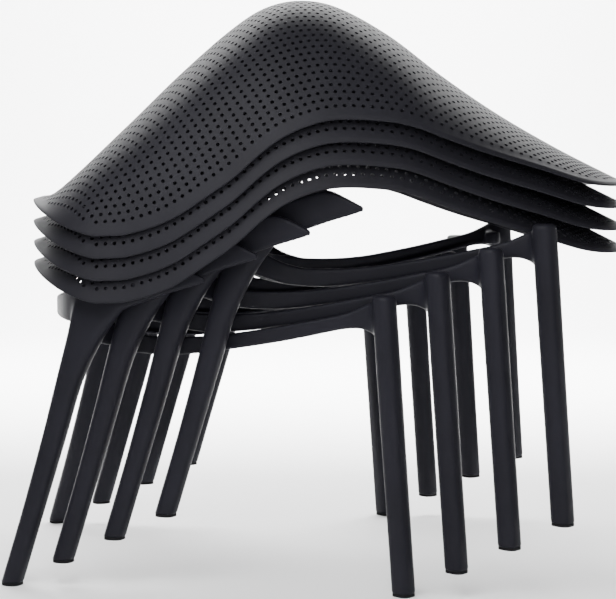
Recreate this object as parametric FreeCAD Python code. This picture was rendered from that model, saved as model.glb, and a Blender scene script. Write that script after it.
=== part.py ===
import FreeCAD, Part
import math
import os

# A stack of four knocked-down armchairs. Four moulded leg frames nest into each
# other, each one a step further forward and up. Four perforated seat shells,
# turned upside down, nest straight above one another on top of the frames.
# Units are millimetres. X runs to the front of the chairs, Z is up, and the
# plane Y = 0 is the plane of symmetry of every frame and shell.

FRAME_COUNT = 4
SHELL_COUNT = 4
FRAME_STEP = FreeCAD.Vector(75.6, 0.0, 34.0)
SHELL_STEP = 32.0

GLIDE_HEIGHT = 4.0
GLIDE_INSET = 0.6
STEM_RADIUS = 7.9
STEM_LENGTH = 16.0
SOCKET_CLEARANCE = 0.1

# Rear leg, foot to top: height, x, distance from the plane of symmetry,
# half length, half width, and turn in plan in degrees. Its top flares forward
# and turns into line with the arm.
REAR_LEG = (
    (GLIDE_HEIGHT, 1.0, 214.5, 15.6, 15.2, 20.0),
    (110.0, 32.0, 204.0, 16.0, 15.5, 20.0),
    (220.0, 63.0, 194.0, 17.8, 16.3, 20.0),
    (290.0, 82.0, 189.5, 19.5, 17.4, 20.0),
    (330.0, 95.5, 187.5, 23.5, 18.0, 20.0),
    (360.0, 107.5, 189.0, 28.5, 17.0, 20.0),
    (382.0, 117.5, 193.0, 34.5, 15.0, 20.0),
    (402.0, 127.0, 197.5, 41.0, 11.5, 21.0),
    (420.0, 134.0, 199.5, 45.0, 9.0, 22.0),
    (438.0, 136.5, 200.5, 47.0, 7.0, 22.0),
)
REAR_LEG_ROUNDNESS = 2.4
LEG_RINGS = 20

# Front leg, same columns.
FRONT_LEG = (
    (GLIDE_HEIGHT, 573.7, 279.5, 15.6, 15.0, 40.0),
    (150.0, 563.5, 274.5, 15.9, 15.3, 40.0),
    (300.0, 553.2, 269.4, 16.4, 15.7, 40.0),
    (430.0, 544.5, 265.0, 16.7, 16.0, 40.0),
)
FRONT_LEG_ROUNDNESS = 2.8
FRONT_LEG_TOP_ROUNDING = 5.0

# Seat rail, from the middle of the rear bend to the front leg:
# x, distance from the plane of symmetry, top height, bottom height.
RAIL = (
    (120.0, 0.0, 374.0, 347.0),
    (123.0, 50.0, 374.0, 347.0),
    (134.0, 98.0, 372.0, 344.0),
    (158.0, 132.0, 368.0, 339.0),
    (200.0, 150.0, 361.5, 334.0),
    (250.0, 156.0, 360.5, 334.0),
    (300.0, 165.0, 364.0, 340.0),
    (345.0, 180.0, 371.0, 347.5),
    (394.0, 198.0, 380.0, 357.0),
    (440.0, 216.0, 390.0, 367.5),
    (483.0, 233.0, 400.0, 378.0),
    (510.0, 243.5, 411.0, 380.0),
    (525.0, 252.0, 419.5, 377.5),
    (534.0, 257.0, 425.0, 370.0),
    (543.0, 262.0, 427.0, 358.0),
)
RAIL_THICKNESS = 10.0
RAIL_CHAMFER = 2.5
RAIL_SECTIONS = 35
FLANGE_WIDTH = 9.0
FLANGE_THICKNESS = 5.0

# Bracket from the seat rail out to the rear leg, same columns as the rail.
BRACKET = (
    (200.0, 150.0, 361.0, 335.0),
    (174.0, 150.0, 369.0, 337.0),
    (152.0, 157.0, 380.0, 344.0),
    (134.0, 168.0, 392.0, 350.0),
    (118.0, 182.0, 396.0, 352.0),
)
BRACKET_THICKNESS = 11.0
BRACKET_SECTIONS = 9

# Cradle band and arm wings, from the middle of the back to the arm tip:
# x, distance from the plane of symmetry, top height, bottom height, thickness.
CRADLE = (
    (46.0, 0.0, 415.0, 387.0, 10.0),
    (51.0, 55.0, 416.0, 386.5, 10.0),
    (62.0, 107.0, 420.0, 386.0, 10.5),
    (76.5, 149.0, 428.0, 385.0, 11.5),
    (92.0, 174.0, 435.0, 384.0, 12.5),
    (110.0, 190.0, 441.0, 385.0, 13.0),
    (128.0, 199.0, 446.0, 388.0, 13.0),
    (145.0, 205.5, 450.5, 393.0, 12.5),
    (161.0, 211.5, 455.0, 401.5, 11.5),
    (184.0, 219.0, 462.5, 412.0, 10.5),
    (210.0, 227.0, 470.0, 421.5, 9.5),
    (238.0, 234.5, 476.0, 431.5, 9.0),
    (264.0, 241.0, 466.5, 439.5, 8.5),
    (282.0, 245.0, 458.0, 444.5, 8.0),
    (288.5, 246.5, 454.0, 447.5, 7.0),
)
CRADLE_CHAMFER = 2.5
CRADLE_SECTIONS = 41

# Screw boss beside each front leg top.
BOSS_X = 528.0
BOSS_Y = 231.0
BOSS_RADIUS = 13.0
BOSS_TOP = 402.5
BOSS_BOTTOM = 381.0
BOSS_HOLE_RADIUS = 4.0
BOSS_RIB_THICKNESS = 5.0

# Shell, measured on the top one of the stack. Ridge: x and height of the
# crest along the plane of symmetry.
RIDGE = (
    (-20.0, 552.0),
    (12.0, 567.0),
    (40.0, 574.0),
    (80.0, 607.0),
    (160.0, 683.5),
    (240.0, 761.0),
    (320.0, 830.0),
    (370.0, 861.0),
    (424.0, 872.0),
    (480.0, 862.0),
    (560.0, 818.5),
    (640.0, 757.5),
    (720.0, 702.0),
    (800.0, 654.0),
    (880.0, 611.0),
    (950.0, 575.0),
)
# Fall from the crest to the side edge: x and drop.
SIDE_DROP = (
    (-20.0, 34.0),
    (60.0, 106.0),
    (120.0, 134.0),
    (180.0, 186.0),
    (240.0, 224.0),
    (300.0, 239.0),
    (340.0, 240.0),
    (400.0, 216.5),
    (460.0, 191.5),
    (520.0, 163.5),
    (600.0, 122.5),
    (680.0, 91.5),
    (760.0, 63.5),
    (840.0, 42.0),
    (950.0, 12.0),
)
# How squarely the sheet turns down into its side walls: x and power.
WALL_POWER = (
    (-20.0, 5.0),
    (60.0, 6.0),
    (120.0, 8.0),
    (260.0, 8.0),
    (350.0, 6.0),
    (450.0, 4.0),
    (950.0, 4.0),
)
CROWN_SHARE = 0.5
# Half width of the shell in plan: x and half width, before the ends are rounded.
HALF_WIDTH = (
    (-20.0, 236.0),
    (60.0, 240.0),
    (150.0, 252.0),
    (250.0, 264.0),
    (400.0, 269.0),
    (550.0, 263.0),
    (700.0, 249.0),
    (780.0, 244.0),
    (860.0, 240.0),
    (950.0, 236.0),
)
SHELL_THICKNESS = 4.0
SHELL_REAR = 9.0
SHELL_FRONT = 921.0
REAR_CORNER_LENGTH = 129.0
FRONT_CORNER_LENGTH = 115.0
REAR_CORNER_POWER = 2.1
FRONT_CORNER_POWER = 3.0
OUTLINE_POINTS_PER_SIDE = 34
SURFACE_COLUMNS = 44
SURFACE_ROWS = 45
SURFACE_MARGIN = 30.0


def smooth_value(stations, x):
    """Cubic Hermite interpolation through (x, value) stations, straight beyond the ends."""
    last = len(stations) - 1

    def slope(index):
        low = max(index - 1, 0)
        high = min(index + 1, last)
        rise = stations[high][1] - stations[low][1]
        return rise / (stations[high][0] - stations[low][0])

    if x <= stations[0][0]:
        return stations[0][1] + slope(0) * (x - stations[0][0])
    if x >= stations[last][0]:
        return stations[last][1] + slope(last) * (x - stations[last][0])
    index = 0
    while stations[index + 1][0] < x:
        index += 1
    x0, v0 = stations[index]
    x1, v1 = stations[index + 1]
    span = x1 - x0
    t = (x - x0) / span
    m0 = slope(index) * span
    m1 = slope(index + 1) * span
    a = 2.0 * t ** 3 - 3.0 * t ** 2 + 1.0
    b = t ** 3 - 2.0 * t ** 2 + t
    c = -2.0 * t ** 3 + 3.0 * t ** 2
    d = t ** 3 - t ** 2
    return a * v0 + b * m0 + c * v1 + d * m1


def rounded_ring(x, y, z, half_x, half_y, turn, power, count=16):
    """Closed curve in a level plane: an ellipse for power 2, squarer above it."""
    points = []
    cos_turn = math.cos(math.radians(turn))
    sin_turn = math.sin(math.radians(turn))
    for step in range(count):
        angle = 2.0 * math.pi * step / count
        c = math.cos(angle)
        s = math.sin(angle)
        along = half_x * math.copysign(abs(c) ** (2.0 / power), c)
        across = half_y * math.copysign(abs(s) ** (2.0 / power), s)
        px = x + along * cos_turn - across * sin_turn
        py = y + along * sin_turn + across * cos_turn
        points.append(FreeCAD.Vector(px, py, z))
    curve = Part.BSplineCurve()
    curve.interpolate(Points=points, PeriodicFlag=True)
    return Part.Wire([curve.toShape()])


def resample(stations, positions, count):
    """Evenly spaced stations along smooth curves through the given ones."""
    columns = []
    for column in range(len(stations[0])):
        columns.append([(p, s[column]) for p, s in zip(positions, stations)])
    span = positions[-1] - positions[0]
    result = []
    for step in range(count):
        p = positions[0] + span * step / (count - 1)
        result.append(tuple(smooth_value(column, p) for column in columns))
    return result


def plan_lengths(stations):
    """Distance run in plan up to each station of a path."""
    lengths = [0.0]
    for before, after in zip(stations, stations[1:]):
        lengths.append(lengths[-1] + math.hypot(after[0] - before[0], after[1] - before[1]))
    return lengths


def leg(stations, side, power):
    heights = [station[0] for station in stations]
    rings = []
    for z, x, y, half_x, half_y, turn in resample(stations, heights, LEG_RINGS):
        rings.append(rounded_ring(x, side * y, z, half_x, half_y, side * turn, power))
    return Part.makeLoft(rings, True, False)


def foot_centre(stations, side):
    _, x, y, _, _, _ = stations[0]
    return FreeCAD.Vector(x, side * y, GLIDE_HEIGHT)


def glide(stations, side, power):
    """Foot glide: a puck under the leg with a stem pushed up into it."""
    _, x, y, half_x, half_y, turn = stations[0]
    half_x -= GLIDE_INSET
    half_y -= GLIDE_INSET
    ring = rounded_ring(x, side * y, 0.0, half_x, half_y, side * turn, power)
    puck = Part.Face(ring).extrude(FreeCAD.Vector(0, 0, GLIDE_HEIGHT))
    stem = Part.makeCylinder(STEM_RADIUS, STEM_LENGTH, foot_centre(stations, side))
    return puck.fuse(stem).removeSplitter()


def stem_socket(stations, side):
    radius = STEM_RADIUS + SOCKET_CLEARANCE
    depth = STEM_LENGTH + SOCKET_CLEARANCE
    return Part.makeCylinder(radius, depth, foot_centre(stations, side))


def mirrored_path(stations):
    """Full left-to-right row of stations from one half; the second column is Y."""
    right = [(s[0], -s[1]) + tuple(s[2:]) for s in reversed(stations[1:])]
    return right + [tuple(s) for s in stations]


def plan_normals(stations):
    """Level unit vectors square to the path, pointing away from its inside."""
    normals = []
    last = len(stations) - 1
    for index in range(len(stations)):
        before = stations[max(index - 1, 0)]
        after = stations[min(index + 1, last)]
        dx = after[0] - before[0]
        dy = after[1] - before[1]
        length = math.hypot(dx, dy)
        normals.append(FreeCAD.Vector(-dy / length, dx / length, 0.0))
    return normals


def band_section(x, y, normal, profile):
    """Corners of a section standing on a path point; profile holds (outward, height)."""
    return [FreeCAD.Vector(x, y, height) + normal * outward for outward, height in profile]


def band_solid(sections):
    """Solid with one smooth curve along each corner of its sections."""
    edges = []
    for corner in zip(*sections):
        curve = Part.BSplineCurve()
        curve.interpolate(Points=list(corner))
        edges.append(curve.toShape())
    faces = []
    for edge, following in zip(edges, edges[1:] + edges[:1]):
        faces.append(Part.makeRuledSurface(edge, following))
    for section in (sections[0], sections[-1]):
        faces.append(Part.Face(Part.makePolygon(section + section[:1])))
    shell = Part.Shell(faces)
    shell.sewShape()
    solid = Part.Solid(shell)
    if solid.Volume < 0:
        solid.reverse()
    return solid


def strap_profile(top, bottom, thickness, chamfer):
    half = thickness / 2.0
    c = min(chamfer, 0.45 * (top - bottom))
    return (
        (-half, bottom + c),
        (-half, top - c),
        (-half + c, top),
        (half - c, top),
        (half, top - c),
        (half, bottom + c),
        (half - c, bottom),
        (-half + c, bottom),
    )


def rail_profile(top, bottom):
    """Upright strap with a flange turned inwards along its bottom edge."""
    half = RAIL_THICKNESS / 2.0
    c = RAIL_CHAMFER
    shelf = bottom + FLANGE_THICKNESS
    inner = -half - FLANGE_WIDTH
    return (
        (inner, shelf),
        (-half, shelf + c),
        (-half, top - c),
        (-half + c, top),
        (half - c, top),
        (half, top - c),
        (half, bottom + c),
        (half - c, bottom),
        (inner, bottom),
    )


def seat_rail():
    path = mirrored_path(RAIL)
    path = resample(path, plan_lengths(path), RAIL_SECTIONS)
    sections = []
    for (x, y, top, bottom), normal in zip(path, plan_normals(path)):
        sections.append(band_section(x, y, normal, rail_profile(top, bottom)))
    return band_solid(sections)


def cradle():
    path = mirrored_path(CRADLE)
    path = resample(path, plan_lengths(path), CRADLE_SECTIONS)
    sections = []
    for (x, y, top, bottom, thickness), normal in zip(path, plan_normals(path)):
        profile = strap_profile(top, bottom, thickness, CRADLE_CHAMFER)
        sections.append(band_section(x, y, normal, profile))
    return band_solid(sections)


def bracket(side):
    path = [(x, side * y, top, bottom) for x, y, top, bottom in BRACKET]
    path = resample(path, plan_lengths(path), BRACKET_SECTIONS)
    sections = []
    for (x, y, top, bottom), normal in zip(path, plan_normals(path)):
        profile = strap_profile(top, bottom, BRACKET_THICKNESS, RAIL_CHAMFER)
        sections.append(band_section(x, y, normal, profile))
    return band_solid(sections)


def boss(side):
    """Screw boss with a rib out to the front leg."""
    base = FreeCAD.Vector(BOSS_X, side * BOSS_Y, BOSS_BOTTOM)
    height = BOSS_TOP - BOSS_BOTTOM
    body = Part.makeCylinder(BOSS_RADIUS, height, base)
    rib_length = FRONT_LEG[-1][2] - BOSS_Y
    rib_y = BOSS_Y if side > 0 else -BOSS_Y - rib_length
    corner = FreeCAD.Vector(BOSS_X + BOSS_RADIUS - BOSS_RIB_THICKNESS, rib_y, BOSS_BOTTOM)
    rib = Part.makeBox(BOSS_RIB_THICKNESS, rib_length, height - BOSS_RIB_THICKNESS, corner)
    return body.fuse(rib)


def boss_bore(side):
    """Plain screw hole right through the boss."""
    base = FreeCAD.Vector(BOSS_X, side * BOSS_Y, BOSS_BOTTOM - 1.0)
    return Part.makeCylinder(BOSS_HOLE_RADIUS, BOSS_TOP - BOSS_BOTTOM + 2.0, base)


def round_leg_top(shape):
    """Round the rim of a front leg's flat top."""
    top = FRONT_LEG[-1][0]
    rim = []
    for edge in shape.Edges:
        if edge.BoundBox.ZMin > top - 0.01:
            rim.append(edge)
    return shape.makeFillet(FRONT_LEG_TOP_ROUNDING, rim)


def leg_frame():
    """One moulded frame: legs, seat rail, cradle band with arm wings, bosses."""
    solid = cradle()
    pieces = [seat_rail()]
    cuts = []
    for side in (-1, 1):
        pieces.append(leg(REAR_LEG, side, REAR_LEG_ROUNDNESS))
        pieces.append(round_leg_top(leg(FRONT_LEG, side, FRONT_LEG_ROUNDNESS)))
        pieces.append(bracket(side))
        pieces.append(boss(side))
        cuts.append(boss_bore(side))
        cuts.append(stem_socket(REAR_LEG, side))
        cuts.append(stem_socket(FRONT_LEG, side))
    solid = solid.fuse(pieces)
    return solid.cut(cuts)


def shell_height(x, y):
    """Height of the outer face of the top shell: a shallow crown plus side walls."""
    across = abs(y) / smooth_value(HALF_WIDTH, x)
    crown = across ** 2
    wall = across ** smooth_value(WALL_POWER, x)
    fall = CROWN_SHARE * crown + (1.0 - CROWN_SHARE) * wall
    return smooth_value(RIDGE, x) - smooth_value(SIDE_DROP, x) * fall


def outline_half_width(x):
    """Half width of the trimmed shell, with its rounded corners."""
    width = smooth_value(HALF_WIDTH, x)
    from_rear = (SHELL_REAR + REAR_CORNER_LENGTH - x) / REAR_CORNER_LENGTH
    from_front = (x - SHELL_FRONT + FRONT_CORNER_LENGTH) / FRONT_CORNER_LENGTH
    if from_rear > 0.0:
        power = REAR_CORNER_POWER
        return width * max(1.0 - from_rear ** power, 0.0) ** (1.0 / power)
    if from_front > 0.0:
        power = FRONT_CORNER_POWER
        return width * max(1.0 - from_front ** power, 0.0) ** (1.0 / power)
    return width


def outline_face():
    """Plan outline of the shell as a level face under it."""
    middle = (SHELL_REAR + SHELL_FRONT) / 2.0
    reach = (SHELL_FRONT - SHELL_REAR) / 2.0
    points = []
    for step in range(2 * OUTLINE_POINTS_PER_SIDE):
        angle = math.pi * step / OUTLINE_POINTS_PER_SIDE
        x = middle + reach * math.cos(angle)
        y = math.copysign(outline_half_width(x), math.sin(angle))
        if step % OUTLINE_POINTS_PER_SIDE == 0:
            y = 0.0
        points.append(FreeCAD.Vector(x, y, 0.0))
    curve = Part.BSplineCurve()
    curve.interpolate(Points=points, PeriodicFlag=True)
    return Part.Face(Part.Wire([curve.toShape()]))


def shell_surface():
    """Untrimmed outer face of the top shell."""
    x_low = SHELL_REAR - SURFACE_MARGIN
    x_high = SHELL_FRONT + SURFACE_MARGIN
    y_high = max(width for _, width in HALF_WIDTH) + SURFACE_MARGIN
    rows = []
    for column in range(SURFACE_COLUMNS):
        x = x_low + (x_high - x_low) * column / (SURFACE_COLUMNS - 1)
        row = []
        for line in range(SURFACE_ROWS):
            y = -y_high + 2.0 * y_high * line / (SURFACE_ROWS - 1)
            row.append(FreeCAD.Vector(x, y, shell_height(x, y)))
        rows.append(row)
    surface = Part.BSplineSurface()
    surface.interpolate(rows)
    return surface.toShape()


def top_shell():
    """The outer face trimmed to its outline and thickened inwards."""
    prism = outline_face().extrude(FreeCAD.Vector(0, 0, 2000.0))
    skin = shell_surface().common(prism).Faces[0]
    outwards = skin.normalAt(*skin.Surface.parameter(skin.CenterOfMass)).z
    inwards = -SHELL_THICKNESS if outwards > 0 else SHELL_THICKNESS
    return skin.makeOffsetShape(inwards, 0.01, fill=True)


def build():
    nodes = {}
    frame = leg_frame()
    glides = {
        "rear_right": glide(REAR_LEG, -1, REAR_LEG_ROUNDNESS),
        "rear_left": glide(REAR_LEG, 1, REAR_LEG_ROUNDNESS),
        "front_right": glide(FRONT_LEG, -1, FRONT_LEG_ROUNDNESS),
        "front_left": glide(FRONT_LEG, 1, FRONT_LEG_ROUNDNESS),
    }
    for number in range(1, FRAME_COUNT + 1):
        shift = FRAME_STEP * (number - 1)
        nodes["frame_%d" % number] = frame.translated(shift)
        for corner, shape in glides.items():
            nodes["glide_%d_%s" % (number, corner)] = shape.translated(shift)
    shell = top_shell()
    for number in range(1, SHELL_COUNT + 1):
        drop = FreeCAD.Vector(0, 0, -SHELL_STEP * (SHELL_COUNT - number))
        nodes["shell_%d" % number] = shell.translated(drop)
    return nodes


def centre_shift(nodes):
    """Move that puts the middle of the stack's footprint box on the origin."""
    boxes = [shape.optimalBoundingBox(False, False) for shape in nodes.values()]
    x_low = min(box.XMin for box in boxes)
    x_high = max(box.XMax for box in boxes)
    return FreeCAD.Vector(-(x_low + x_high) / 2.0, 0.0, 0.0)


def main():
    os.makedirs("parts", exist_ok=True)
    nodes = build()
    shift = centre_shift(nodes)
    for name, shape in nodes.items():
        shape.translated(shift).exportStep("parts/%s.step" % name)


main()
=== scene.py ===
import math

import bmesh
import bpy
import numpy as np
from mathutils import Matrix, Vector, kdtree
from mathutils.geometry import delaunay_2d_cdt


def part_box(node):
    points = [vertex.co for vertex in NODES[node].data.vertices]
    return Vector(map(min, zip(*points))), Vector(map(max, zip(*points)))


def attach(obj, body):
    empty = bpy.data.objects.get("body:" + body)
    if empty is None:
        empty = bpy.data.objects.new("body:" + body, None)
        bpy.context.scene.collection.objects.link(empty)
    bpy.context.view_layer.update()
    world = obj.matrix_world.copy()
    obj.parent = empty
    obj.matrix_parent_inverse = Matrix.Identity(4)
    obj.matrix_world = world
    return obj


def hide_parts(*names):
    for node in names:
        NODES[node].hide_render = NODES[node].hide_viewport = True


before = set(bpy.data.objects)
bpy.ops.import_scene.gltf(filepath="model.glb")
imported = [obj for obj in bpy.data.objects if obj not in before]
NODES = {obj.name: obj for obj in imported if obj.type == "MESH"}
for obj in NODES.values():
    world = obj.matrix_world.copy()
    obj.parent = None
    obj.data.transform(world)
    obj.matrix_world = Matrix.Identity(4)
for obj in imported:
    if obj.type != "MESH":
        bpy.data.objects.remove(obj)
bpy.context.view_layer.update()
MM = 0.001

# ---------------------------------------------------------------- shell shape
# The same stations as the exact model, in millimetres along the chair. Height of
# the crest line:
RIDGE = (
    (-20.0, 552.0), (12.0, 567.0), (40.0, 574.0), (80.0, 607.0),
    (160.0, 683.5), (240.0, 761.0), (320.0, 830.0), (370.0, 861.0),
    (424.0, 872.0), (480.0, 862.0), (560.0, 818.5), (640.0, 757.5),
    (720.0, 702.0), (800.0, 654.0), (880.0, 611.0), (950.0, 575.0),
)
# Fall from the crest to the side edge:
SIDE_DROP = (
    (-20.0, 34.0), (60.0, 106.0), (120.0, 134.0), (180.0, 186.0),
    (240.0, 224.0), (300.0, 239.0), (340.0, 240.0), (400.0, 216.5),
    (460.0, 191.5), (520.0, 163.5), (600.0, 122.5), (680.0, 91.5),
    (760.0, 63.5), (840.0, 42.0), (950.0, 12.0),
)
# Distance from the plane of symmetry to the side edge:
HALF_WIDTH = (
    (-20.0, 236.0), (60.0, 240.0), (150.0, 252.0), (250.0, 264.0),
    (400.0, 269.0), (550.0, 263.0), (700.0, 249.0), (780.0, 244.0),
    (860.0, 240.0), (950.0, 236.0),
)
# How squarely the sheet turns down into its side walls, and the share of the
# fall that is a plain crown:
WALL_POWER = (
    (-20.0, 5.0), (60.0, 6.0), (120.0, 8.0), (260.0, 8.0),
    (350.0, 6.0), (450.0, 4.0), (950.0, 4.0),
)
CROWN_SHARE = 0.5
SHELL_THICKNESS = 4.0
SHELL_REAR = 9.0
SHELL_FRONT = 921.0
REAR_CORNER_LENGTH = 129.0
FRONT_CORNER_LENGTH = 115.0
REAR_CORNER_POWER = 2.1
FRONT_CORNER_POWER = 3.0
SHELL_STEP = 32.0
SHELL_COUNT = 4
HALF_DIFFERENCE = 0.5

# Perforation: spacing of the hole columns along the chair, and the rows across.
COLUMN_SPACING = (
    (10.0, 11.5), (120.0, 13.2), (170.0, 13.2), (215.0, 12.0),
    (260.0, 11.2), (340.0, 11.0), (400.0, 11.6), (450.0, 12.4),
    (510.0, 13.5), (570.0, 14.2), (660.0, 14.5), (720.0, 14.3),
    (760.0, 13.2), (800.0, 11.5), (830.0, 9.8), (900.0, 8.8),
)
FIRST_COLUMN = 6.0
ROWS_PER_HALF = 27
ARC_STEPS = 60
LAST_ROW_TO_RIM = 21.5
HOLE_RADIUS = 2.95
HOLE_SIDES = 8
HOLE_TO_RIM = 17.0

# Edge: its rounding, how much thinner the sheet gets there, the spacing of the
# points along it and the distances from it of the plain border's rings.
RIM_RADIUS = 0.9
RIM_TAPER = 0.35
OUTLINE_SAMPLES = 1600
OUTLINE_STEP = 6.0
BORDER_RINGS = (1.3, 4.0, 6.5, 8.5, 12.0)

# The lip turned down along the seat: width, turn in degrees, the run over which
# it bends, and where along the chair it grows from nothing to full.
LIP_WIDTH = 8.5
LIP_TURN = 12.0
LIP_BEND = 4.0
LIP_GROWS = (400.0, 480.0)


def smooth_value(stations, x):
    """Cubic Hermite interpolation through (x, value) stations, straight beyond the ends."""
    last = len(stations) - 1

    def slope(index):
        low = max(index - 1, 0)
        high = min(index + 1, last)
        rise = stations[high][1] - stations[low][1]
        return rise / (stations[high][0] - stations[low][0])

    if x <= stations[0][0]:
        return stations[0][1] + slope(0) * (x - stations[0][0])
    if x >= stations[last][0]:
        return stations[last][1] + slope(last) * (x - stations[last][0])
    index = 0
    while stations[index + 1][0] < x:
        index += 1
    x0, v0 = stations[index]
    x1, v1 = stations[index + 1]
    span = x1 - x0
    t = (x - x0) / span
    m0 = slope(index) * span
    m1 = slope(index + 1) * span
    a = 2.0 * t ** 3 - 3.0 * t ** 2 + 1.0
    b = t ** 3 - 2.0 * t ** 2 + t
    c = -2.0 * t ** 3 + 3.0 * t ** 2
    d = t ** 3 - t ** 2
    return a * v0 + b * m0 + c * v1 + d * m1


def shell_height(x, y):
    """Height of the top shell's outer face: a shallow crown plus side walls."""
    across = abs(y) / smooth_value(HALF_WIDTH, x)
    wall = across ** smooth_value(WALL_POWER, x)
    fall = CROWN_SHARE * across ** 2 + (1.0 - CROWN_SHARE) * wall
    return smooth_value(RIDGE, x) - smooth_value(SIDE_DROP, x) * fall


def shell_point(x, y, depth=0.0):
    """Point on the sheet, depth below its outer face along the face's normal."""
    point = Vector((x, y, shell_height(x, y)))
    if depth == 0.0:
        return point
    return point - shell_normal(x, y) * depth


def shell_normal(x, y):
    h = HALF_DIFFERENCE
    dzdx = (shell_height(x + h, y) - shell_height(x - h, y)) / (2.0 * h)
    dzdy = (shell_height(x, y + h) - shell_height(x, y - h)) / (2.0 * h)
    return Vector((-dzdx, -dzdy, 1.0)).normalized()


def outline_half_width(x):
    """Half width of the shell in plan, with its rounded corners."""
    width = smooth_value(HALF_WIDTH, x)
    from_rear = (SHELL_REAR + REAR_CORNER_LENGTH - x) / REAR_CORNER_LENGTH
    from_front = (x - SHELL_FRONT + FRONT_CORNER_LENGTH) / FRONT_CORNER_LENGTH
    if from_rear > 0.0:
        power = REAR_CORNER_POWER
        return width * max(1.0 - from_rear ** power, 0.0) ** (1.0 / power)
    if from_front > 0.0:
        power = FRONT_CORNER_POWER
        return width * max(1.0 - from_front ** power, 0.0) ** (1.0 / power)
    return width


def evenly_spaced(points, step):
    """Closed loop of plan points respaced by distance along it."""
    lengths = [0.0]
    loop = points + [points[0]]
    for a, b in zip(loop, loop[1:]):
        lengths.append(lengths[-1] + (b - a).length)
    count = int(lengths[-1] / step)
    result = []
    index = 0
    for k in range(count):
        target = lengths[-1] * k / count
        while lengths[index + 1] < target:
            index += 1
        t = (target - lengths[index]) / (lengths[index + 1] - lengths[index])
        result.append(loop[index].lerp(loop[index + 1], t))
    return result


def outline_loop():
    """Plan outline of the shell, evenly spaced."""
    middle = (SHELL_REAR + SHELL_FRONT) / 2.0
    reach = (SHELL_FRONT - SHELL_REAR) / 2.0
    points = []
    for step in range(OUTLINE_SAMPLES):
        angle = 2.0 * math.pi * step / OUTLINE_SAMPLES
        x = middle + reach * math.cos(angle)
        y = math.copysign(outline_half_width(x), math.sin(angle))
        points.append(Vector((x, y)))
    return evenly_spaced(points, OUTLINE_STEP)


def inset(loop, distance):
    """The loop moved inwards over the sheet; loop runs anticlockwise."""
    result = []
    count = len(loop)
    for k in range(count):
        along = (loop[(k + 1) % count] - loop[k - 1]).normalized()
        inwards = Vector((-along.y, along.x))
        stretch = (shell_point(*(loop[k] + inwards)) - shell_point(*loop[k])).length
        result.append(loop[k] + inwards * (distance / stretch))
    return result


def border_points(outline, distance, depth):
    """Points of the sheet at a distance from its edge, with the lip turned down."""
    bases = inset(outline, LIP_WIDTH)
    edges = inset(outline, 0.0)
    start, full = LIP_GROWS
    result = []
    depth *= 1.0 - RIM_TAPER * max(1.0 - distance / LIP_WIDTH, 0.0)
    for base, edge in zip(bases, edges):
        grown = min(max((base.x - start) / (full - start), 0.0), 1.0)
        reach = LIP_WIDTH - distance
        turn = math.radians(LIP_TURN) * grown * min(reach / LIP_BEND, 1.0)
        foot = shell_point(base.x, base.y)
        outwards = (shell_point(edge.x, edge.y) - foot).normalized()
        normal = shell_normal(base.x, base.y)
        normal = (normal - outwards * normal.dot(outwards)).normalized()
        point = foot + (outwards * math.cos(turn) - normal * math.sin(turn)) * reach
        result.append(point - (normal * math.cos(turn) + outwards * math.sin(turn)) * depth)
    return result


def column_positions():
    """Places along the chair of the even rows' holes."""
    positions = [SHELL_REAR + FIRST_COLUMN]
    while positions[-1] < SHELL_FRONT:
        positions.append(positions[-1] + smooth_value(COLUMN_SPACING, positions[-1]))
    return positions


def edge_point(x):
    """Point of the sheet at full half width."""
    return shell_point(x, smooth_value(HALF_WIDTH, x))


def last_row_margin(x):
    """Run across the sheet, at one x, that keeps the last row clear of the edge."""
    width = smooth_value(HALF_WIDTH, x)
    along = (edge_point(x + 1.0) - edge_point(x - 1.0)).normalized()
    across = (edge_point(x) - shell_point(x, width - 1.0)).normalized()
    slant = along.dot(across)
    return LAST_ROW_TO_RIM / math.sqrt(1.0 - slant * slant)


def across_at(x, row):
    """Distance from the middle of a row, rows being evenly spaced over the sheet."""
    width = smooth_value(HALF_WIDTH, x)
    lengths = [0.0]
    before = shell_point(x, 0.0)
    for k in range(1, ARC_STEPS + 1):
        here = shell_point(x, width * k / ARC_STEPS)
        lengths.append(lengths[-1] + (here - before).length)
        before = here
    target = (lengths[-1] - last_row_margin(x)) * row / ROWS_PER_HALF
    k = 0
    while k < ARC_STEPS - 1 and lengths[k + 1] < target:
        k += 1
    t = (target - lengths[k]) / (lengths[k + 1] - lengths[k])
    return width * (k + t) / ARC_STEPS


def hole_centres(outline):
    """Plan points of all holes: staggered rows, kept clear of the edge."""
    tree = kdtree.KDTree(len(outline))
    for k, p in enumerate(outline):
        tree.insert(shell_point(p.x, p.y), k)
    tree.balance()
    columns = column_positions()
    centres = []
    for row in range(-ROWS_PER_HALF, ROWS_PER_HALF + 1):
        for k in range(len(columns) - 1):
            x = columns[k]
            if row % 2:
                x = 0.5 * (columns[k] + columns[k + 1])
            y = math.copysign(across_at(x, abs(row)), row)
            if not SHELL_REAR < x < SHELL_FRONT or abs(y) > outline_half_width(x):
                continue
            if tree.find(shell_point(x, y))[2] > HOLE_TO_RIM:
                centres.append(Vector((x, y)))
    return centres


def hole_ring(centre):
    """Plan points of a hole that is round on the sheet."""
    along = shell_point(centre.x + 1.0, centre.y) - shell_point(centre.x - 1.0, centre.y)
    along.normalize()
    side = shell_normal(centre.x, centre.y).cross(along)
    ring = []
    for k in range(HOLE_SIDES):
        angle = 2.0 * math.pi * (k + 0.5) / HOLE_SIDES
        offset = (along * math.cos(angle) + side * math.sin(angle)) * HOLE_RADIUS
        ring.append(Vector((centre.x + offset.x, centre.y + offset.y)))
    return ring


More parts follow.
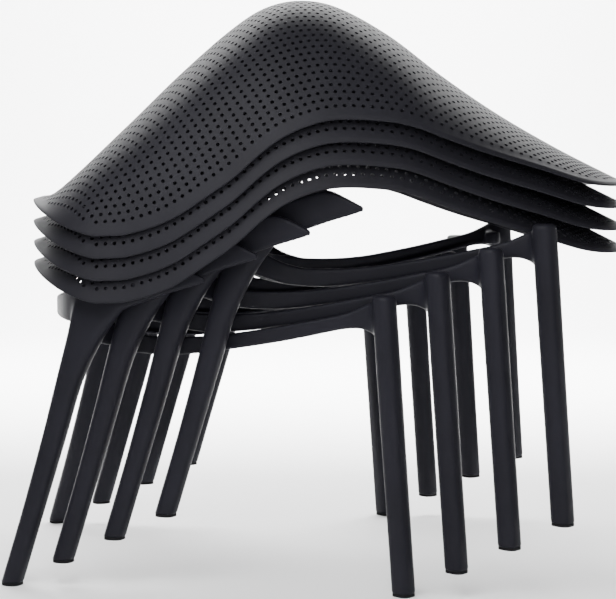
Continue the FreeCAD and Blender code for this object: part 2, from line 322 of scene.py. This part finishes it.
def flat_pattern():
    """Plan triangulation of the sheet: points, triangles, hole loops, edge loop."""
    outline = outline_loop()
    points = []
    edges = []
    owner = []

    def add_loop(loop, tag):
        first = len(points)
        points.extend(loop)
        owner.extend([tag] * len(loop))
        for k in range(len(loop)):
            edges.append((first + k, first + (k + 1) % len(loop)))

    rims = [inset(outline, distance) for distance in BORDER_RINGS]
    for loop in rims:
        add_loop(loop, -1)
    for number, centre in enumerate(hole_centres(outline)):
        add_loop(hole_ring(centre), number)
    verts, _, faces, sources, _, _ = delaunay_2d_cdt(points, edges, [], 1, 1e-5)
    tags = [owner[s[0]] if s else -1 for s in sources]
    triangles = []
    for face in faces:
        hole = tags[face[0]]
        if hole >= 0 and all(tags[v] == hole for v in face):
            continue
        triangles.append(tuple(face))
    return outline, verts, triangles


def sheet_vertices(bm, outline, flat, depth):
    """Vertices of one face of the sheet: first the border rings, then the rest."""
    points = []
    for distance in BORDER_RINGS:
        points.extend(border_points(outline, distance, depth))
    points.extend(shell_point(p.x, p.y, depth) for p in flat[len(points):])
    return [bm.verts.new(point) for point in points]


def shell_mesh():
    """Perforated sheet with a rounded rim, in the place of the top shell."""
    outline, flat, triangles = flat_pattern()
    bm = bmesh.new()
    outer = sheet_vertices(bm, outline, flat, 0.0)
    inner = sheet_vertices(bm, outline, flat, SHELL_THICKNESS)
    for a, b, c in triangles:
        bm.faces.new((outer[a], outer[b], outer[c]))
        bm.faces.new((inner[c], inner[b], inner[a]))
    bm.edges.ensure_lookup_table()
    twin = dict(zip(outer, inner))
    open_edges = [e for e in bm.edges if len(e.link_faces) == 1 and e.verts[0] in twin]
    rim = []
    middle = len(outline)
    order = {v: k for k, v in enumerate(outer)}
    for edge in open_edges:
        loop = edge.link_loops[0]
        a, b = loop.vert, loop.link_loop_next.vert
        if order[a] < middle and order[b] < middle:
            rim.append((a, b))
            continue
        bm.faces.new((b, a, twin[a], twin[b]))
        edge.smooth = False
    for a, b in [(twin[e.verts[0]], twin[e.verts[1]]) for e in open_edges]:
        edge = bm.edges.get((a, b))
        if edge:
            edge.smooth = False
    add_rim(bm, rim, outer, twin, outline, order)
    bmesh.ops.recalc_face_normals(bm, faces=bm.faces)
    for face in bm.faces:
        face.smooth = True
    bm.transform(Matrix.Diagonal((MM, MM, MM, 1.0)))
    mesh = bpy.data.meshes.new("perforated_shell")
    bm.to_mesh(mesh)
    bm.free()
    return mesh


def add_rim(bm, rim, outer, twin, outline, order):
    """Rounded edge strip between the outer and inner faces."""
    upper = border_points(outline, 0.0, RIM_RADIUS)
    lower = border_points(outline, 0.0, SHELL_THICKNESS - RIM_RADIUS)
    high = {}
    low = {}
    for a, _ in rim:
        high[a] = bm.verts.new(upper[order[a]])
        low[a] = bm.verts.new(lower[order[a]])
    for a, b in rim:
        bm.faces.new((b, a, high[a], high[b]))
        bm.faces.new((high[b], high[a], low[a], low[b]))
        bm.faces.new((low[b], low[a], twin[a], twin[b]))


def build_shells(material):
    """Four copies of the perforated sheet, one below the other."""
    mesh = shell_mesh()
    mesh.materials.append(material)
    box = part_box("shell_%d" % SHELL_COUNT)
    shift_x = box[1].x - SHELL_FRONT * MM
    for number in range(1, SHELL_COUNT + 1):
        drop = SHELL_STEP * MM * (SHELL_COUNT - number)
        piece = bpy.data.objects.new("perforated_shell_%d" % number, mesh.copy())
        piece.data.transform(Matrix.Translation((shift_x, 0.0, -drop)))
        bpy.context.scene.collection.objects.link(piece)
        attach(piece, "seat_shell_%d" % number)
        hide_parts("shell_%d" % number)


# --------------------------------------------------------------------- frames
FRAME_COUNT = 4
FRAME_BACK = -15.0
FRAME_VOXEL = 0.0025
EVEN_ROUNDS = 6
EVEN_IN = 0.50
EVEN_OUT = 0.52
FILLET_ROUNDS = 70
FILLET_PACE = 0.5
NORMALS_EVERY = 10
ROUND_OVER = 0.12
# Corners that the mould blends: x, |y|, height and reach in millimetres, in the
# lowest frame's own place along the chair.
BLENDS = (
    (150.0, 165.0, 365.0, 46.0),
    (118.0, 190.0, 400.0, 58.0),
    (158.0, 206.0, 420.0, 40.0),
    (526.0, 252.0, 416.0, 66.0),
)


def copied_mesh(node, name):
    """A working copy of a CAD node's mesh as an object of its own."""
    piece = bpy.data.objects.new(name, NODES[node].data.copy())
    bpy.context.scene.collection.objects.link(piece)
    return piece


def applied(piece):
    """The piece's mesh with its modifiers applied."""
    bpy.context.view_layer.update()
    graph = bpy.context.evaluated_depsgraph_get()
    mesh = bpy.data.meshes.new_from_object(piece.evaluated_get(graph))
    piece.modifiers.clear()
    piece.data = mesh
    return mesh


def neighbour_mean(points, first, second, degree):
    """Mean of each point's neighbours along the mesh edges."""
    total = np.zeros_like(points)
    for axis in range(3):
        total[:, axis] += np.bincount(first, points[second, axis], len(points))
        total[:, axis] += np.bincount(second, points[first, axis], len(points))
    return total / degree[:, None]


def blend_weights(points, origin):
    """How strongly each point belongs to a blended corner, 0 to 1."""
    weights = np.zeros(len(points))
    for x, y, z, reach in BLENDS:
        centre = np.array((origin + x * MM, y * MM, z * MM))
        folded = np.column_stack((points[:, 0], np.abs(points[:, 1]), points[:, 2]))
        distance = np.linalg.norm(folded - centre, axis=1) / (reach * MM)
        weights = np.maximum(weights, np.clip(2.0 - 2.0 * distance, 0.0, 1.0))
    return weights


def mesh_normals(mesh):
    """Vertex normals as an array."""
    normals = np.empty(len(mesh.vertices) * 3)
    mesh.vertices.foreach_get("normal", normals)
    return normals.reshape(-1, 3)


def smooth_frame(mesh, origin):
    """Even out the surface, then fill its inside corners as the mould does."""
    count = len(mesh.vertices)
    points = np.empty(count * 3)
    mesh.vertices.foreach_get("co", points)
    points = points.reshape(-1, 3)
    edges = np.empty(len(mesh.edges) * 2, dtype=np.int64)
    mesh.edges.foreach_get("vertices", edges)
    first, second = edges[0::2], edges[1::2]
    degree = np.bincount(edges, minlength=count).astype(float)
    for _ in range(EVEN_ROUNDS):
        points += EVEN_IN * (neighbour_mean(points, first, second, degree) - points)
        points -= EVEN_OUT * (neighbour_mean(points, first, second, degree) - points)
    weights = blend_weights(points, origin)
    for round_number in range(FILLET_ROUNDS):
        if round_number % NORMALS_EVERY == 0:
            mesh.vertices.foreach_set("co", points.ravel())
            mesh.update()
            normals = mesh_normals(mesh)
        move = neighbour_mean(points, first, second, degree) - points
        outwards = np.einsum("ij,ij->i", move, normals)
        keep = np.where(outwards > 0.0, 1.0, ROUND_OVER) * weights
        points += FILLET_PACE * move * keep[:, None]
    mesh.vertices.foreach_set("co", points.ravel())
    mesh.update()


def build_frames(material):
    """The lowest frame as one even, filleted skin, copied to the other three."""
    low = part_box("frame_1")[0]
    piece = copied_mesh("frame_1", "moulded_frame_1")
    remesh = piece.modifiers.new("even", "REMESH")
    remesh.mode = "VOXEL"
    remesh.voxel_size = FRAME_VOXEL
    remesh.use_smooth_shade = True
    mesh = applied(piece)
    smooth_frame(mesh, low.x - FRAME_BACK * MM)
    mesh.materials.clear()
    mesh.materials.append(material)
    for number in range(1, FRAME_COUNT + 1):
        if number > 1:
            piece = bpy.data.objects.new("moulded_frame_%d" % number, mesh.copy())
            bpy.context.scene.collection.objects.link(piece)
            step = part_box("frame_%d" % number)[0] - low
            piece.data.transform(Matrix.Translation(step))
        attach(piece, "leg_frame_%d" % number)
        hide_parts("frame_%d" % number)


# ------------------------------------------------------------------ materials
CLOUD_SCALE = 9.0
TONE_SPREAD = 0.12
GLOSS_SPREAD = 0.05
GRAIN_STRENGTH = 0.25
SPECULAR_LEVEL = 0.11


def plastic(name, colour, roughness, grain_scale, grain_depth):
    """Moulded plastic: slight tone clouds, fine spark grain and uneven gloss."""
    material = bpy.data.materials.new(name)
    material.use_nodes = True
    tree = material.node_tree
    nodes = tree.nodes
    links = tree.links
    shader = nodes["Principled BSDF"]
    place = nodes.new("ShaderNodeTexCoord")
    clouds = nodes.new("ShaderNodeTexNoise")
    clouds.inputs["Scale"].default_value = CLOUD_SCALE
    clouds.inputs["Detail"].default_value = 3.0
    grain = nodes.new("ShaderNodeTexNoise")
    grain.inputs["Scale"].default_value = grain_scale
    grain.inputs["Detail"].default_value = 4.0
    links.new(place.outputs["Object"], clouds.inputs["Vector"])
    links.new(place.outputs["Object"], grain.inputs["Vector"])
    tone = nodes.new("ShaderNodeValToRGB")
    tone.color_ramp.elements[0].position = 0.30
    tone.color_ramp.elements[1].position = 0.70
    tone.color_ramp.elements[0].color = [c * (1.0 - TONE_SPREAD) for c in colour] + [1.0]
    tone.color_ramp.elements[1].color = [c * (1.0 + TONE_SPREAD) for c in colour] + [1.0]
    links.new(clouds.outputs["Fac"], tone.inputs["Fac"])
    links.new(tone.outputs["Color"], shader.inputs["Base Color"])
    gloss = nodes.new("ShaderNodeMapRange")
    gloss.inputs["To Min"].default_value = roughness - GLOSS_SPREAD
    gloss.inputs["To Max"].default_value = roughness + GLOSS_SPREAD
    links.new(grain.outputs["Fac"], gloss.inputs["Value"])
    links.new(gloss.outputs["Result"], shader.inputs["Roughness"])
    bump = nodes.new("ShaderNodeBump")
    bump.inputs["Strength"].default_value = GRAIN_STRENGTH
    bump.inputs["Distance"].default_value = grain_depth
    links.new(grain.outputs["Fac"], bump.inputs["Height"])
    links.new(bump.outputs["Normal"], shader.inputs["Normal"])
    shader.inputs["Specular IOR Level"].default_value = SPECULAR_LEVEL
    return material


def dress_nodes():
    """Give every CAD node its material; return those of the rebuilt pieces."""
    frame_plastic = plastic("frame_plastic", (0.0106, 0.0103, 0.0145), 0.48, 900.0, 0.0001)
    glide_rubber = plastic("glide_rubber", (0.0080, 0.0080, 0.0090), 0.62, 500.0, 0.0002)
    shell_plastic = plastic("shell_plastic", (0.0128, 0.0125, 0.0160), 0.56, 900.0, 0.0001)
    for name, node in NODES.items():
        material = frame_plastic
        if name.startswith("glide"):
            material = glide_rubber
        if name.startswith("shell"):
            material = shell_plastic
        node.data.materials.clear()
        node.data.materials.append(material)
    return frame_plastic, shell_plastic


# ------------------------------------------------------- camera, light, floor
CAMERA_PLACE = (-0.0135, -2.5346, 0.5951)
CAMERA_DIP = 4.302
CAMERA_PAN = 0.075
SENSOR_WIDTH = 36.0
LENS = 93.5

WORLD_COLOUR = (0.96, 0.97, 1.0, 1.0)
WORLD_STRENGTH = 0.30
STACK_CENTRE = (0.0, 0.0, 0.45)
# Soft lights: name, place, target, size and power.
LIGHTS = (
    ("key", (-2.6, -2.2, 1.3), STACK_CENTRE, (2.0, 2.0), 11.0),
    ("front", (0.6, -3.2, 0.7), (0.15, 0.0, 0.55), (2.0, 0.5), 9.0),
    ("right", (2.4, 0.2, 1.4), STACK_CENTRE, (1.0, 1.8), 3.0),
    ("above", (-0.8, -1.0, 2.8), STACK_CENTRE, (1.6, 1.2), 20.0),
    ("near_floor", (0.0, -1.5, 1.0), (0.2, -1.4, 0.0), (2.4, 0.6), 26.0),
    ("far_floor", (0.0, 1.6, 2.2), (0.0, 2.2, 0.0), (3.4, 1.2), 240.0),
    ("backdrop", (0.0, 1.6, 2.4), (0.0, 4.6, 1.2), (4.5, 1.0), 1000.0),
)

# Floor sheet, in metres: how far it runs to the sides, to the front and back, and
# the bend up into the backdrop.
FLOOR_SIDE = 8.0
FLOOR_FRONT = -6.0
FLOOR_BACK = 3.5
BEND_RADIUS = 1.5
BEND_STEPS = 12
BACKDROP_TOP = 7.0
FLOOR_GAP = 0.0002
FLOOR_TONES = (0.93, 0.96)
FLOOR_NOISE_SCALE = 2.0
FLOOR_ROUGHNESS = 0.9


def add_camera():
    data = bpy.data.cameras.new("camera")
    camera = bpy.data.objects.new("camera", data)
    bpy.context.scene.collection.objects.link(camera)
    data.sensor_fit = "HORIZONTAL"
    data.sensor_width = SENSOR_WIDTH
    data.lens = LENS
    camera.location = CAMERA_PLACE
    camera.rotation_euler = (math.radians(90.0 - CAMERA_DIP), 0.0, math.radians(CAMERA_PAN))
    bpy.context.scene.camera = camera


def add_area_light(name, location, target, size, power):
    data = bpy.data.lights.new(name, "AREA")
    data.shape = "RECTANGLE"
    data.size, data.size_y = size
    data.energy = power
    light = bpy.data.objects.new(name, data)
    light.location = location
    direction = Vector(target) - Vector(location)
    light.rotation_euler = direction.to_track_quat("-Z", "Y").to_euler()
    bpy.context.scene.collection.objects.link(light)


def add_studio():
    world = bpy.data.worlds.new("studio")
    bpy.context.scene.world = world
    world.use_nodes = True
    background = world.node_tree.nodes["Background"]
    background.inputs["Color"].default_value = WORLD_COLOUR
    background.inputs["Strength"].default_value = WORLD_STRENGTH
    for name, place, target, size, power in LIGHTS:
        add_area_light(name, place, target, size, power)


def floor_profile():
    """Points (y, z) of the floor sheet from front to top of the backdrop."""
    profile = [(FLOOR_FRONT, 0.0), (FLOOR_BACK, 0.0)]
    for k in range(1, BEND_STEPS + 1):
        angle = 0.5 * math.pi * k / BEND_STEPS
        y = FLOOR_BACK + BEND_RADIUS * math.sin(angle)
        profile.append((y, BEND_RADIUS * (1.0 - math.cos(angle))))
    profile.append((FLOOR_BACK + BEND_RADIUS, BACKDROP_TOP))
    return profile


def floor_material():
    material = bpy.data.materials.new("floor_paper")
    material.use_nodes = True
    nodes = material.node_tree.nodes
    links = material.node_tree.links
    shader = nodes["Principled BSDF"]
    noise = nodes.new("ShaderNodeTexNoise")
    noise.inputs["Scale"].default_value = FLOOR_NOISE_SCALE
    ramp = nodes.new("ShaderNodeValToRGB")
    for element, tone in zip(ramp.color_ramp.elements, FLOOR_TONES):
        element.color = (tone, tone, tone, 1.0)
    links.new(noise.outputs["Fac"], ramp.inputs["Fac"])
    links.new(ramp.outputs["Color"], shader.inputs["Base Color"])
    shader.inputs["Roughness"].default_value = FLOOR_ROUGHNESS
    return material


def add_floor():
    """A pale plain floor that curves up into a backdrop far behind."""
    bm = bmesh.new()
    rows = []
    for y, z in floor_profile():
        ends = (-FLOOR_SIDE, FLOOR_SIDE)
        rows.append([bm.verts.new((x, y, z - FLOOR_GAP)) for x in ends])
    for a, b in zip(rows, rows[1:]):
        bm.faces.new((a[0], a[1], b[1], b[0])).smooth = True
    mesh = bpy.data.meshes.new("floor")
    bm.to_mesh(mesh)
    bm.free()
    mesh.materials.append(floor_material())
    floor = bpy.data.objects.new("floor", mesh)
    bpy.context.scene.collection.objects.link(floor)


add_camera()
add_studio()
add_floor()
frame_material, shell_material = dress_nodes()
build_frames(frame_material)
build_shells(shell_material)
